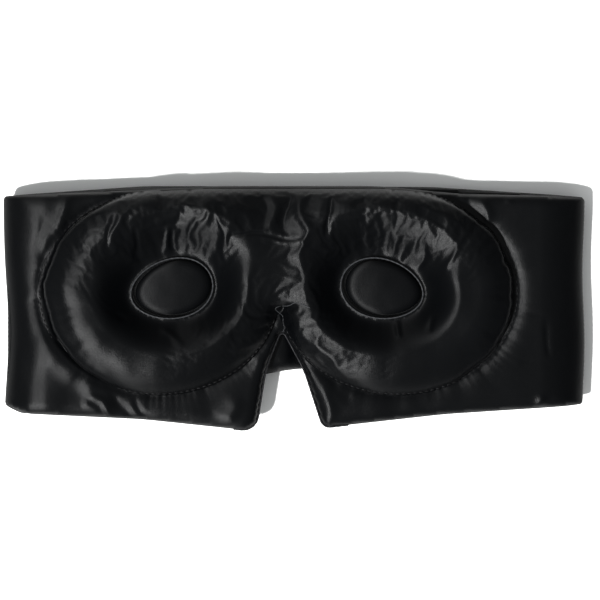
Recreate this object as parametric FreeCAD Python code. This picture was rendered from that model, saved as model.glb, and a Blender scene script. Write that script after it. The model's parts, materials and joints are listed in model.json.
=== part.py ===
"""Contoured sleep eye mask, lying face side up with its two side bands folded flat behind it.

The front panel is a padded satin sandwich with a nose notch. A moulded foam pad with two eye
cavities is topstitched onto its face side. Each end of the panel folds into a padded band. The
long left band ends in a closure tab with hook tape, which lies under the short right band with
its loop tape. Millimetres; +X along the mask, +Y towards the forehead, +Z out of the face side.
The origin is on the supporting surface, under the middle of the folded mask.
"""

import FreeCAD
import Part
import math
import os

# Folded mask, in plan
HALF_WIDTH = 116.2          # from the middle to each fold line
SIDE_TOP = 44.6             # top edge at the folds
CROWN_TOP = 48.7            # top edge over the eyes
LOBE_BOTTOM = -49.2         # lowest point of the cheek lobes
NOTCH_X = -3.6              # middle of the nose notch
NOTCH_TOP = -7.5            # top of the nose notch
BAND_WAIST = -24.3          # lower edge of the bands behind the nose notch
RIGHT_BAND_END = 8.0        # free end of the right band
TAB_START = 50.0            # bend line of the closure tab
TAB_TIP = 102.0             # free end of the closure tab
BEND_GAP = 0.2              # from the bend line to each side's solids

# Levels, upwards from the supporting surface
THIN_BAND = 4.0             # left band and tab where the right band presses on them
LOFTED_BAND = 9.3           # left band where only the front panel lies on it
RIGHT_BAND_LOW = 5.85
RIGHT_BAND_HIGH = 9.5
RIGHT_FOLD_LOW = 0.5        # the right fold nearly reaches the surface
PANEL_LOW = 10.0
PANEL_HIGH = 17.0
FOAM_HIGH = 27.0
SKIN = 0.6                  # satin with its seam allowance
LINER = 0.6                 # blackout interlining

# Foam pad, in plan
PAD_X = -6.0                # middle of the pad
PAD_Y = 6.0
LOBE_OFFSET = 47.5          # from the middle of the pad to each lobe's centre
LOBE_A = 48.5               # half width of a lobe at its seam
LOBE_B = 41.0               # half height of a lobe at its seam
FLANGE = 2.6                # flat seam margin round the foam
FLANGE_CLEAR = 0.3          # the margin keeps this far inside the panel's edge
COVER = 0.5                 # satin over the foam
SKIN_CLEAR = 0.02           # from that satin to the margin
LOBE_RINGS = [(0.0, 0.0), (4.5, 0.5), (8.0, 3.2), (10.0, 7.5)]   # (height, draw inwards) of the foam's side
BRIDGE_HIGH = 25.0          # top of the foam between the eyes
BRIDGE_NOTCH = -2.5         # lower edge of the foam between the eyes
BRIDGE_DRAW = 4.2           # how far the bridge's sides lean in

# Eye cavities and their discs
EYE_X = -6.6                # middle between the eyes
EYE_Y = 7.6
EYE_OFFSET = 41.8
EYE_TILT = 12.0             # degrees, inner end up
WELL_LOW = (18.2, 13.1)     # half axes of the cavity in the foam at its floor
WELL_HIGH = (29.5, 23.5)    # and at the foam's top
WELL_REACH = (-0.1, 1.2)    # the cutting cone's ends, as shares of the foam's height
DISC = (15.9, 10.8)         # half axes of the covered disc
DISC_HEIGHT = 1.8
PIPING_IN = (16.1, 11.0)
PIPING_OUT = (17.3, 12.2)
PIPING_HEIGHT = 1.5

# Hook and loop tape
TAPE_LOW_Y = -16.0
TAPE_HIGH_Y = 28.0
HOOK_X = (60.0, 98.0)
LOOP_X = (14.0, 100.0)
HOOK_THICK = 0.9
LOOP_THICK = 0.8
TAPE_BORDER = 3.0           # thinner sewn border of each tape
TAPE_BASE = 0.45            # thickness of that border

# Bound edge of the nose notch
BINDING_WIDE = 0.8
BINDING_LEVELS = (12.4, 14.6)
BINDING_SPAN = (-24.0, 22.0)    # from lobe to lobe
BINDING_TOP = -4.0

# Thread
PAD_STITCH_INSET = 1.2      # from the edge of the pad's seam margin
PAD_STITCH_ARC = (112.0, 344.0)     # degrees round each lobe, from its top to the nose
STITCH_LONG = 2.2
STITCH_PITCH = 3.6
STITCH_WIDE = 0.5
STITCH_HIGH = 0.3
TAPE_PITCH = 5.0
TAPE_CORNER = 4.0           # the tapes' stitch lines stop this far from each corner

EVERYTHING = 200.0          # half size of a block that holds the whole mask
XY = "XY"
XZ = "XZ"


def point(u, v, plane):
    """A point from its two coordinates in a plane through the origin."""
    if plane == XZ:
        return FreeCAD.Vector(u, 0, v)
    return FreeCAD.Vector(u, v, 0)


def rounded_wire(corners, plane=XY):
    """A closed wire of straight edges and tangent arcs. Each corner is (u, v, radius)."""
    count = len(corners)
    starts, arcs, ends = [], [], []
    for i, (u, v, radius) in enumerate(corners):
        here = point(u, v, plane)
        before = point(corners[i - 1][0], corners[i - 1][1], plane)
        after = point(corners[(i + 1) % count][0], corners[(i + 1) % count][1], plane)
        to_before = (before - here).normalize()
        to_after = (after - here).normalize()
        if radius == 0:
            starts.append(here)
            ends.append(here)
            arcs.append(None)
            continue
        half = to_before.getAngle(to_after) / 2
        reach = radius / math.tan(half)
        start = here + to_before * reach
        end = here + to_after * reach
        middle_way = (to_before + to_after).normalize()
        middle = here + middle_way * (radius / math.sin(half) - radius)
        starts.append(start)
        ends.append(end)
        arcs.append(Part.Arc(start, middle, end).toShape())
    edges = []
    for i in range(count):
        if arcs[i] is not None:
            edges.append(arcs[i])
        following = starts[(i + 1) % count]
        if ends[i].distanceToPoint(following) > 1e-6:
            edges.append(Part.LineSegment(ends[i], following).toShape())
    return Part.Wire(edges)


def raised(wire, low, high):
    """The solid over a flat XY wire between two levels."""
    solid = Part.Face(wire).extrude(FreeCAD.Vector(0, 0, high - low))
    solid.translate(FreeCAD.Vector(0, 0, low))
    return solid


def swept_across(wire):
    """The solid of a flat XZ wire, extended along Y both ways."""
    solid = Part.Face(wire).extrude(FreeCAD.Vector(0, 2 * EVERYTHING, 0))
    solid.translate(FreeCAD.Vector(0, -EVERYTHING, 0))
    return solid


def box(x0, x1, y0, y1, z0, z1):
    return Part.makeBox(x1 - x0, y1 - y0, z1 - z0, FreeCAD.Vector(x0, y0, z0))


def slab(low, high):
    """Everything between two levels."""
    return box(-EVERYTHING, EVERYTHING, -EVERYTHING, EVERYTHING, low, high)


def padded_unit(outline, side_view):
    """The full outer solid and the inner solid, one satin thickness inside it."""
    outer = raised(outline, -EVERYTHING, EVERYTHING).common(swept_across(side_view))
    inner_plan = raised(outline.makeOffset2D(-SKIN), -EVERYTHING, EVERYTHING)
    inner = inner_plan.common(swept_across(side_view.makeOffset2D(-SKIN)))
    return outer, inner


def oval(half_axes, x, y, tilt, z):
    """A tilted ellipse as a closed wire. The tilt is in degrees."""
    ellipse = Part.Ellipse(FreeCAD.Vector(0, 0, 0), half_axes[0], half_axes[1])
    wire = Part.Wire(ellipse.toShape())
    wire.rotate(FreeCAD.Vector(0, 0, 0), FreeCAD.Vector(0, 0, 1), tilt)
    wire.translate(FreeCAD.Vector(x, y, z))
    return wire


def stitch(x, y, z, angle):
    """One stitch of thread, lying along the given direction in degrees."""
    solid = Part.makeBox(STITCH_LONG, STITCH_WIDE, STITCH_HIGH,
                         FreeCAD.Vector(-STITCH_LONG / 2, -STITCH_WIDE / 2, 0))
    solid.rotate(FreeCAD.Vector(0, 0, 0), FreeCAD.Vector(0, 0, 1), angle)
    solid.translate(FreeCAD.Vector(x, y, z))
    return solid


# ---------------------------------------------------------------- front panel

def panel_outline():
    return rounded_wire([
        (-HALF_WIDTH, SIDE_TOP, 3.5),
        (-80.0, 46.2, 150.0),
        (-30.0, CROWN_TOP, 200.0),
        (34.0, CROWN_TOP, 150.0),
        (66.0, 45.6, 80.0),
        (HALF_WIDTH, 43.9, 3.0),
        (HALF_WIDTH, -38.4, 4.0),
        (60.0, -42.4, 200.0),
        (11.8, LOBE_BOTTOM + 0.8, 3.5),
        (4.4, -25.0, 40.0),
        (NOTCH_X, NOTCH_TOP, 1.2),
        (-11.0, -24.0, 40.0),
        (-15.0, LOBE_BOTTOM - 0.6, 6.0),
        (-60.0, -44.4, 150.0),
        (-HALF_WIDTH, -42.4, 7.0),
    ])


def panel_side_view():
    """The panel seen from the nose side, rounded where it turns down into each fold."""
    fold_round = PANEL_HIGH - PANEL_LOW - 0.6
    return rounded_wire([
        (-HALF_WIDTH, PANEL_LOW, 0.0),
        (HALF_WIDTH, PANEL_LOW, 0.0),
        (HALF_WIDTH, PANEL_HIGH, fold_round),
        (-HALF_WIDTH, PANEL_HIGH, fold_round),
    ], XZ)


def make_front_panel():
    outer, inner = padded_unit(panel_outline(), panel_side_view())
    shell = outer.cut(inner)
    seam = (PANEL_LOW + PANEL_HIGH) / 2
    liner_top = PANEL_LOW + SKIN + LINER
    return {
        "outer_cover": shell.common(slab(PANEL_LOW, seam)),
        "face_lining": shell.common(slab(seam, PANEL_HIGH)),
        "blackout_liner": inner.common(slab(PANEL_LOW, liner_top)),
        "front_padding": inner.common(slab(liner_top, PANEL_HIGH)),
    }


def make_notch_binding():
    """A narrow bound edge that runs round the nose notch from lobe to lobe."""
    low, high = BINDING_LEVELS
    ring = raised(panel_outline().makeOffset2D(BINDING_WIDE), low, high)
    ring = ring.cut(raised(panel_outline(), -EVERYTHING, EVERYTHING))
    return {"nose_notch_binding": ring.common(box(*BINDING_SPAN, -EVERYTHING, BINDING_TOP, low, high))}


# ------------------------------------------------------------------- foam pad

def lobe(side, grow):
    """One crowned lobe of the pad, as rings that draw in towards the top."""
    x = PAD_X + side * LOBE_OFFSET
    a, b = LOBE_A - FLANGE + grow, LOBE_B - FLANGE + grow
    wires = []
    for i, (height, draw) in enumerate(LOBE_RINGS):
        z = PANEL_HIGH + height + (grow if i else 0.0)
        wires.append(oval((a - draw, b - draw), x, PAD_Y, 0, z))
    return Part.makeLoft(wires, True, True)


def bridge(grow):
    """The foam over the nose, between the two lobes."""
    x0, x1 = PAD_X - LOBE_OFFSET, PAD_X + LOBE_OFFSET
    top = PAD_Y + LOBE_B - FLANGE + grow
    wires = []
    for z, d in [(PANEL_HIGH, 0.0), (BRIDGE_HIGH + grow, BRIDGE_DRAW)]:
        corners = [(x0, BRIDGE_NOTCH - grow + d), (x1, BRIDGE_NOTCH - grow + d), (x1, top - d), (x0, top - d)]
        points = [FreeCAD.Vector(x, y, z) for x, y in corners]
        wires.append(Part.makePolygon(points + points[:1]))
    return Part.makeLoft(wires, True, True)


def pad_body(grow):
    return lobe(-1, grow).fuse(lobe(1, grow)).fuse(bridge(grow)).removeSplitter()


def eye_well(side, shrink):
    """An eye cavity, open at the top and wider there."""
    x, tilt = EYE_X + side * EYE_OFFSET, -side * EYE_TILT
    rise = FOAM_HIGH - PANEL_HIGH
    wires = []
    for share in WELL_REACH:
        half_axes = [lo + (hi - lo) * share - shrink for lo, hi in zip(WELL_LOW, WELL_HIGH)]
        wires.append(oval(half_axes, x, EYE_Y, tilt, PANEL_HIGH + rise * share))
    return Part.makeLoft(wires, True, True)


def pad_plan(margin, low, high):
    """An upright prism of the pad's outline, drawn in by a margin from its seam."""
    x0, x1 = PAD_X - LOBE_OFFSET, PAD_X + LOBE_OFFSET
    plan = box(x0, x1, BRIDGE_NOTCH, PAD_Y + LOBE_B - margin, low, high)
    for side in (-1, 1):
        half_axes = (LOBE_A - margin, LOBE_B - margin)
        ring = oval(half_axes, PAD_X + side * LOBE_OFFSET, PAD_Y, 0, 0)
        plan = plan.fuse(raised(ring, low, high))
    return plan


def make_pad():
    """The foam, and its cover: the satin skin over the foam and the flat seam margin round it."""
    foam, grown = pad_body(0.0), pad_body(COVER)
    for side in (-1, 1):
        foam = foam.cut(eye_well(side, 0.0))
        grown = grown.cut(eye_well(side, COVER))
    skin = grown.cut(foam)
    inside = FLANGE - COVER - SKIN_CLEAR
    low, high = PANEL_HIGH, PANEL_HIGH + COVER
    flange = pad_plan(0.0, low, high).cut(pad_plan(inside, -EVERYTHING, EVERYTHING))
    edge = raised(panel_outline().makeOffset2D(-FLANGE_CLEAR), -EVERYTHING, EVERYTHING)
    return {
        "face_pad_foam": foam,
        "face_pad_cover": Part.makeCompound([skin, flange.common(edge)]),
    }


def make_pad_topstitch():
    """Dashes of thread round each lobe's seam margin, from the top of the lobe to the nose."""
    line_a, line_b = LOBE_A - PAD_STITCH_INSET, LOBE_B - PAD_STITCH_INSET
    stitches = []
    for side in (-1, 1):
        angle, stop = [math.radians(limit) for limit in PAD_STITCH_ARC]
        while angle < stop:
            x = PAD_X + side * (LOBE_OFFSET + line_a * -math.cos(angle))
            y = PAD_Y + line_b * math.sin(angle)
            dx = side * line_a * math.sin(angle)
            dy = line_b * math.cos(angle)
            heading = math.degrees(math.atan2(dy, dx))
            stitches.append(stitch(x, y, PANEL_HIGH + COVER, heading))
            angle += STITCH_PITCH / math.hypot(dx, dy)
    return {"pad_topstitch": Part.makeCompound(stitches)}


def make_eye_discs():
    """A satin-covered disc and a ring of piping on the floor of each eye cavity."""
    parts = {}
    for side, name in ((-1, "left"), (1, "right")):
        x, tilt, floor = EYE_X + side * EYE_OFFSET, -side * EYE_TILT, PANEL_HIGH
        whole = raised(oval(DISC, x, EYE_Y, tilt, 0), floor, floor + DISC_HEIGHT)
        core_axes = (DISC[0] - COVER, DISC[1] - COVER)
        core = raised(oval(core_axes, x, EYE_Y, tilt, 0), floor, floor + DISC_HEIGHT - COVER)
        ring = raised(oval(PIPING_OUT, x, EYE_Y, tilt, 0), floor, floor + PIPING_HEIGHT)
        ring = ring.cut(raised(oval(PIPING_IN, x, EYE_Y, tilt, 0), -EVERYTHING, EVERYTHING))
        parts["eye_disc_core_" + name] = core
        parts["eye_disc_cover_" + name] = whole.cut(core)
        parts["eye_piping_" + name] = ring
    return parts


# ---------------------------------------------------------------------- bands

def make_left_band():
    """The long band: full loft behind the face, pressed thin where the right band lies on it."""
    end = TAB_START - BEND_GAP
    outline = rounded_wire([
        (-HALF_WIDTH, 45.0, 3.0),
        (-60.0, 48.9, 200.0),
        (20.0, 48.9, 200.0),
        (end, 46.5, 0.0),
        (end, BAND_WAIST, 0.0),
        (0.0, BAND_WAIST, 80.0),
        (-84.0, -41.4, 60.0),
        (-HALF_WIDTH, -42.2, 2.5),
    ])
    side_view = rounded_wire([
        (-HALF_WIDTH, 0.0, 7.5),
        (end, 0.0, 0.0),
        (end, THIN_BAND, 0.0),
        (6.5, THIN_BAND, 2.5),
        (-3.0, LOFTED_BAND, 3.0),
        (-HALF_WIDTH, LOFTED_BAND, 0.0),
    ], XZ)
    outer, inner = padded_unit(outline, side_view)
    shell = outer.cut(inner)
    seam = THIN_BAND / 2
    return {
        "left_band_lining": shell.common(slab(0, seam)),
        "left_band_outer": shell.common(slab(seam, LOFTED_BAND)),
        "left_band_padding": inner,
    }


def make_closure_tab():
    start = TAB_START + BEND_GAP
    outline = rounded_wire([
        (start, 46.5, 0.0),
        (TAB_TIP, 38.0, 10.0),
        (TAB_TIP, BAND_WAIST + 0.8, 10.0),
        (start, BAND_WAIST, 0.0),
    ])
    side_view = rounded_wire([
        (start, 0.0, 0.0),
        (TAB_TIP, 0.0, 1.2),
        (TAB_TIP, THIN_BAND, 1.2),
        (start, THIN_BAND, 0.0),
    ], XZ)
    outer, inner = padded_unit(outline, side_view)
    shell = outer.cut(inner)
    seam = THIN_BAND / 2
    return {
        "closure_tab_lining": shell.common(slab(0, seam)),
        "closure_tab_outer": shell.common(slab(seam, THIN_BAND)),
        "closure_tab_padding": inner,
    }


def make_right_band():
    """The short band, which lies on the closure tab and drops to the surface at its fold."""
    outline = rounded_wire([
        (RIGHT_BAND_END, 48.9, 9.0),
        (56.0, 48.4, 100.0),
        (HALF_WIDTH, 45.0, 2.5),
        (HALF_WIDTH, -38.6, 2.5),
        (84.0, -36.4, 60.0),
        (30.0, BAND_WAIST, 80.0),
        (RIGHT_BAND_END, BAND_WAIST, 9.0),
    ])
    drop = TAB_TIP + 2.6
    side_view = rounded_wire([
        (RIGHT_BAND_END, RIGHT_BAND_LOW, 0.8),
        (drop, RIGHT_BAND_LOW, 0.8),
        (drop, RIGHT_FOLD_LOW, 1.2),
        (HALF_WIDTH, RIGHT_FOLD_LOW, 7.5),
        (HALF_WIDTH, RIGHT_BAND_HIGH, 0.0),
        (RIGHT_BAND_END, RIGHT_BAND_HIGH, 0.8),
    ], XZ)
    outer, inner = padded_unit(outline, side_view)
    shell = outer.cut(inner)
    seam = (RIGHT_BAND_LOW + RIGHT_BAND_HIGH) / 2
    return {
        "right_band_lining": shell.common(slab(0, seam)),
        "right_band_outer": shell.common(slab(seam, RIGHT_BAND_HIGH)),
        "right_band_padding": inner,
    }


def stitch_row(start, end):
    """Evenly spaced places along one side of a tape, clear of its corners."""
    length = end - start - 2 * TAPE_CORNER
    count = int(length / TAPE_PITCH)
    return [start + TAPE_CORNER + length * i / count for i in range(count + 1)]


def make_tape(x_range, base_z, thick, direction):
    """A tape with a thick field and a thin sewn border, and the thread round that border.

    It stands on the level base_z and faces up where direction is 1, down where it is -1."""
    x0, x1 = x_range
    corners = [(x0, TAPE_LOW_Y, 3), (x1, TAPE_LOW_Y, 3), (x1, TAPE_HIGH_Y, 3), (x0, TAPE_HIGH_Y, 3)]
    outline = rounded_wire(corners)
    levels = sorted((base_z, base_z + direction * TAPE_BASE))
    border = raised(outline, *levels)
    levels = sorted((base_z, base_z + direction * thick))
    field = raised(outline.makeOffset2D(-TAPE_BORDER), *levels)
    half = TAPE_BORDER / 2
    thread_z = base_z + TAPE_BASE if direction > 0 else base_z - TAPE_BASE - STITCH_HIGH
    thread = []
    for y in (TAPE_LOW_Y + half, TAPE_HIGH_Y - half):
        thread += [stitch(x, y, thread_z, 0) for x in stitch_row(x0, x1)]
    for x in (x0 + half, x1 - half):
        thread += [stitch(x, y, thread_z, 90) for y in stitch_row(TAPE_LOW_Y, TAPE_HIGH_Y)]
    return border.fuse(field).removeSplitter(), Part.makeCompound(thread)


def make_tapes():
    hook, hook_thread = make_tape(HOOK_X, THIN_BAND, HOOK_THICK, 1)
    loop, loop_thread = make_tape(LOOP_X, RIGHT_BAND_LOW, LOOP_THICK, -1)
    return {
        "hook_tape": hook,
        "hook_tape_stitching": hook_thread,
        "loop_tape": loop,
        "loop_tape_stitching": loop_thread,
    }


def main():
    os.makedirs("parts", exist_ok=True)
    makers = (make_front_panel, make_notch_binding, make_pad, make_pad_topstitch,
              make_eye_discs, make_left_band, make_closure_tab, make_right_band, make_tapes)
    for maker in makers:
        for node, shape in maker().items():
            solids = shape.Solids
            volume = sum(solid.Volume for solid in solids)
            print(f"{node:24} solids {len(solids):4}  volume {volume:9.1f} mm3  valid {shape.isValid()}")
            kept = solids[0] if len(solids) == 1 else Part.makeCompound(solids)
            kept.exportStep(f"parts/{node}.step")


main()
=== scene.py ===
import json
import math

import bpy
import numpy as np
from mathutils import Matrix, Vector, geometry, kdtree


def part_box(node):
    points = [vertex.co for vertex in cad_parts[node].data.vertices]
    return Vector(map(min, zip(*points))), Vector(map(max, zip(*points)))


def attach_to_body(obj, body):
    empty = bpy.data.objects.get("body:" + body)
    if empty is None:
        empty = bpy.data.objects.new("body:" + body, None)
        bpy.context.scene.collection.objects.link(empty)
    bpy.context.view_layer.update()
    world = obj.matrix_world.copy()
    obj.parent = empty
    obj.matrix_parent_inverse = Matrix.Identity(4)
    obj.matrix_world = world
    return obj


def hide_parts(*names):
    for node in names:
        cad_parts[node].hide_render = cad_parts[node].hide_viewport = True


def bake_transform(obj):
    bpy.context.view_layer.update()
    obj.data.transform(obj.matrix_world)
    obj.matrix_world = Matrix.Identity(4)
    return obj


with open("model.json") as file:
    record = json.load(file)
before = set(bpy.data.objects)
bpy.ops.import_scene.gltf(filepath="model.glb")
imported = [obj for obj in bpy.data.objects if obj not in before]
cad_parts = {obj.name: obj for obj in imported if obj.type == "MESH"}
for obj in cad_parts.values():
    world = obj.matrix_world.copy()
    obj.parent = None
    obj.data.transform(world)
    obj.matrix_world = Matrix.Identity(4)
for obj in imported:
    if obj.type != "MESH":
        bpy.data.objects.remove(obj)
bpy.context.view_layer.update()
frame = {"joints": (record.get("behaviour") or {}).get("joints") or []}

# Looks of the folded sleep eye mask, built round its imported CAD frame.
#
# Shapes are worked out in millimetres and turned into metres when a mesh is made. The padded strap (both
# bands, both folds and the front panel) is one flat pattern, filled with triangles, folded into place, and
# cut where the CAD bodies meet. The foam pad's satin is a second pattern laid on the panel, and is then run
# as cloth.

MM = 0.001
SIDES = ((-1, "left"), (1, "right"))


def box_mm(node):
    """Lowest and highest corner of a CAD node, in millimetres."""
    low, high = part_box(node)
    return np.array(low) / MM, np.array(high) / MM


# ---------------------------------------------------------------- sizes read from the frame

COVER_LOW, COVER_HIGH = box_mm("outer_cover")
LEFT, RIGHT = COVER_LOW[0], COVER_HIGH[0]
TOP, BOTTOM = COVER_HIGH[1], COVER_LOW[1]
PANEL_LOW, PANEL_HIGH = COVER_LOW[2], box_mm("face_lining")[1][2]
LEFT_BAND_HIGH = box_mm("left_band_outer")[1][2]
RIGHT_BAND_HIGH = box_mm("right_band_outer")[1][2]
RIGHT_BAND_END = box_mm("right_band_outer")[0][0]
RIGHT_FOLD_LOW = box_mm("right_band_lining")[0][2]
RIGHT_BAND_LOW = box_mm("loop_tape")[1][2]
THIN_BAND = box_mm("hook_tape")[0][2]
TAB_TIP = box_mm("closure_tab_lining")[1][0]
TAB_BEND = next(joint["pos_m"][0] for joint in frame["joints"] if joint["name"] == "closure_tab_peel") / MM
PAD_LOW, PAD_HIGH = box_mm("face_pad_cover")
PAD_CROWN = box_mm("face_pad_foam")[1][2]

# ---------------------------------------------------------------- small helpers


def smooth(t):
    """0 below 0, 1 above 1, and a soft step between."""
    t = np.clip(t, 0.0, 1.0)
    return t * t * (3 - 2 * t)


def bump_at(value, middle, width):
    """A bell of height 1."""
    return np.exp(-((value - middle) / width) ** 2)


def dome(distance, width):
    """The round shoulder of a stuffed edge: 0 at the seam, 1 from width inwards."""
    t = np.clip(distance / width, 0.0, 1.0)
    return np.sqrt(np.clip(1 - (1 - t) ** 2, 0.0, 1.0))


def ripples(x, y, wavelength, seed, waves=16):
    """A soft random surface of about unit height, made of plane waves."""
    rng = np.random.default_rng(seed)
    total = np.zeros_like(x)
    for _ in range(waves):
        heading, phase = rng.uniform(0, 2 * math.pi, 2)
        rate = 2 * math.pi / (wavelength * rng.uniform(0.7, 1.5))
        total += np.sin(rate * (x * math.cos(heading) + y * math.sin(heading)) + phase)
    return total / math.sqrt(waves)


def along_ripples(place, wavelength, seed):
    """The same along one direction only."""
    return ripples(place, np.zeros_like(place), wavelength * 0.6, seed)


def rounded(corners, step):
    """A closed outline with round corners, as points about a step apart. A corner is (u, v, radius)."""
    count = len(corners)
    line = []
    for i, (u, v, radius) in enumerate(corners):
        here = np.array((u, v))
        to_before = np.array(corners[i - 1][:2]) - here
        to_after = np.array(corners[(i + 1) % count][:2]) - here
        to_before /= np.linalg.norm(to_before)
        to_after /= np.linalg.norm(to_after)
        half = math.acos(np.clip(to_before @ to_after, -1, 1)) / 2
        middle_way = to_before + to_after
        centre = here + middle_way / np.linalg.norm(middle_way) * radius / math.sin(half)
        start = here + to_before * radius / math.tan(half) - centre
        end = here + to_after * radius / math.tan(half) - centre
        turn = math.atan2(start[0] * end[1] - start[1] * end[0], start @ end)
        parts = max(2, int(abs(turn) * radius / step))
        for k in range(parts + 1):
            a = turn * k / parts
            spin = np.array(((math.cos(a), -math.sin(a)), (math.sin(a), math.cos(a))))
            line.append(centre + spin @ start)
    return evenly(np.array(line), step)


def evenly(line, step):
    """A closed line's points, spread again about a step apart."""
    closed = np.vstack([line, line[:1]])
    lengths = np.concatenate([[0], np.cumsum(np.linalg.norm(np.diff(closed, axis=0), axis=1))])
    places = np.linspace(0, lengths[-1], max(8, int(lengths[-1] / step)), endpoint=False)
    return np.column_stack([np.interp(places, lengths, closed[:, k]) for k in range(2)])


def nearest_on(line, points):
    """How far each point is from a closed line, and how far along the line its nearest place is."""
    tree = kdtree.KDTree(len(line))
    for i, (u, v) in enumerate(line):
        tree.insert((u, v, 0), i)
    tree.balance()
    index = np.array([tree.find((u, v, 0))[1] for u, v in points])
    sides = np.roll(line, -1, axis=0) - line
    starts = np.concatenate([[0], np.cumsum(np.linalg.norm(sides, axis=1))])
    best = np.full(len(points), 1e9)
    along = np.zeros(len(points))
    for shift in (-1, 0):
        k = (index + shift) % len(line)
        share = np.clip(((points - line[k]) * sides[k]).sum(1) / (sides[k] ** 2).sum(1), 0, 1)
        away = np.linalg.norm(points - line[k] - sides[k] * share[:, None], axis=1)
        closer = away < best
        best[closer] = away[closer]
        along[closer] = (starts[k] + share * np.linalg.norm(sides[k], axis=1))[closer]
    return best, along


def inside(line, points):
    """Which points lie inside a closed line."""
    found = np.zeros(len(points), bool)
    following = np.roll(line, -1, axis=0)
    for (u0, v0), (u1, v1) in zip(line, following):
        if v0 == v1:
            continue
        crosses = (points[:, 1] < v0) != (points[:, 1] < v1)
        found ^= crosses & (points[:, 0] < u0 + (points[:, 1] - v0) / (v1 - v0) * (u1 - u0))
    return found


def hexagonal(low, high, step):
    """Points of a triangular lattice over a rectangle."""
    rows = np.arange(low[1], high[1], step * math.sqrt(0.75))
    columns = np.arange(low[0], high[0], step)
    u, v = np.meshgrid(columns, rows)
    u = u + (np.arange(len(rows)) % 2)[:, None] * step / 2
    return np.column_stack([u.ravel(), v.ravel()])


def fill(outline, lattice, step, cuts=(), holes=()):
    """Points and triangles over a flat pattern. No triangle crosses a cut, and holes are left open."""
    loops = [outline, *holes]
    keep = inside(outline, lattice)
    for line in [*loops, *cuts]:
        keep &= nearest_on(line, lattice)[0] > 0.55 * step
    for hole in holes:
        keep &= ~inside(hole, lattice)
    points, edges = [], []
    for loop in loops:
        first = len(points)
        points += list(loop)
        edges += [(first + i, first + (i + 1) % len(loop)) for i in range(len(loop))]
    for cut in cuts:
        first = len(points)
        points += list(cut)
        edges += [(first + i, first + i + 1) for i in range(len(cut) - 1)]
    points += list(lattice[keep])
    made = geometry.delaunay_2d_cdt([Vector(p) for p in points], edges, [], 1, 1e-5)
    flat = np.array([tuple(p) for p in made[0]])
    triangles = np.array(made[2])
    middles = flat[triangles].mean(1)
    good = inside(outline, middles)
    for hole in holes:
        good &= ~inside(hole, middles)
    return flat, triangles[good]


def make_object(name, points, faces, material, flat=None, normals=None):
    """A smooth mesh object from points in millimetres, with fabric coordinates where flat is given."""
    mesh = bpy.data.meshes.new(name)
    mesh.from_pydata((np.asarray(points) * MM).tolist(), [], [list(map(int, f)) for f in faces])
    mesh.polygons.foreach_set("use_smooth", [True] * len(mesh.polygons))
    if flat is not None:
        corners = np.zeros(len(mesh.loops), int)
        mesh.loops.foreach_get("vertex_index", corners)
        layer = mesh.uv_layers.new(name="fabric")
        layer.data.foreach_set("uv", (np.asarray(flat) * MM * 10)[corners].ravel())
    mesh.materials.append(material)
    if normals is not None:
        mesh.normals_split_custom_set_from_vertices(normals.tolist())
    thing = bpy.data.objects.new(name, mesh)
    bpy.context.scene.collection.objects.link(thing)
    return thing


def vertex_normals(points, faces):
    """Area-weighted normals of a triangle mesh."""
    a, b, c = (points[faces[:, k]] for k in range(3))
    face_normals = np.cross(b - a, c - a)
    total = np.zeros_like(points)
    for k in range(3):
        np.add.at(total, faces[:, k], face_normals)
    return total / np.maximum(np.linalg.norm(total, axis=1), 1e-12)[:, None]


# ---------------------------------------------------------------- materials


def new_material(name):
    material = bpy.data.materials.new(name)
    material.use_nodes = True
    nodes, links = material.node_tree.nodes, material.node_tree.links
    return material, nodes, links, nodes["Principled BSDF"]


def colour_between(nodes, links, factor, dark, light):
    """A mix of two colours, steered by a texture's output."""
    mix = nodes.new("ShaderNodeMix")
    mix.data_type = "RGBA"
    mix.inputs["A"].default_value = (*dark, 1)
    mix.inputs["B"].default_value = (*light, 1)
    links.new(factor, mix.inputs["Factor"])
    return mix.outputs["Result"]


def ranged(nodes, links, value, low, high):
    """A texture's output, mapped to a range."""
    node = nodes.new("ShaderNodeMapRange")
    node.inputs["To Min"].default_value = low
    node.inputs["To Max"].default_value = high
    links.new(value, node.inputs["Value"])
    return node.outputs["Result"]


def noise(nodes, links, vector, scale, detail=3.0, roughness=0.55):
    node = nodes.new("ShaderNodeTexNoise")
    node.inputs["Scale"].default_value = scale
    node.inputs["Detail"].default_value = detail
    node.inputs["Roughness"].default_value = roughness
    links.new(vector, node.inputs["Vector"])
    return node.outputs["Fac"]


def thread_lines(nodes, links, vector, scale, direction, wobble):
    node = nodes.new("ShaderNodeTexWave")
    node.bands_direction = direction
    node.inputs["Scale"].default_value = scale
    node.inputs["Distortion"].default_value = wobble
    node.inputs["Detail"].default_value = 2.0
    node.inputs["Detail Scale"].default_value = 2.0
    links.new(vector, node.inputs["Vector"])
    return node.outputs["Fac"]


def bumped(nodes, links, shader, heights):
    """Chains bump nodes into a shader. Each height is (output, strength, distance in metres)."""
    normal = None
    for height, strength, distance in heights:
        node = nodes.new("ShaderNodeBump")
        node.inputs["Strength"].default_value = strength
        node.inputs["Distance"].default_value = distance
        links.new(height, node.inputs["Height"])
        if normal is not None:
            links.new(normal, node.inputs["Normal"])
        normal = node.outputs["Normal"]
    links.new(normal, shader.inputs["Normal"])


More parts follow.
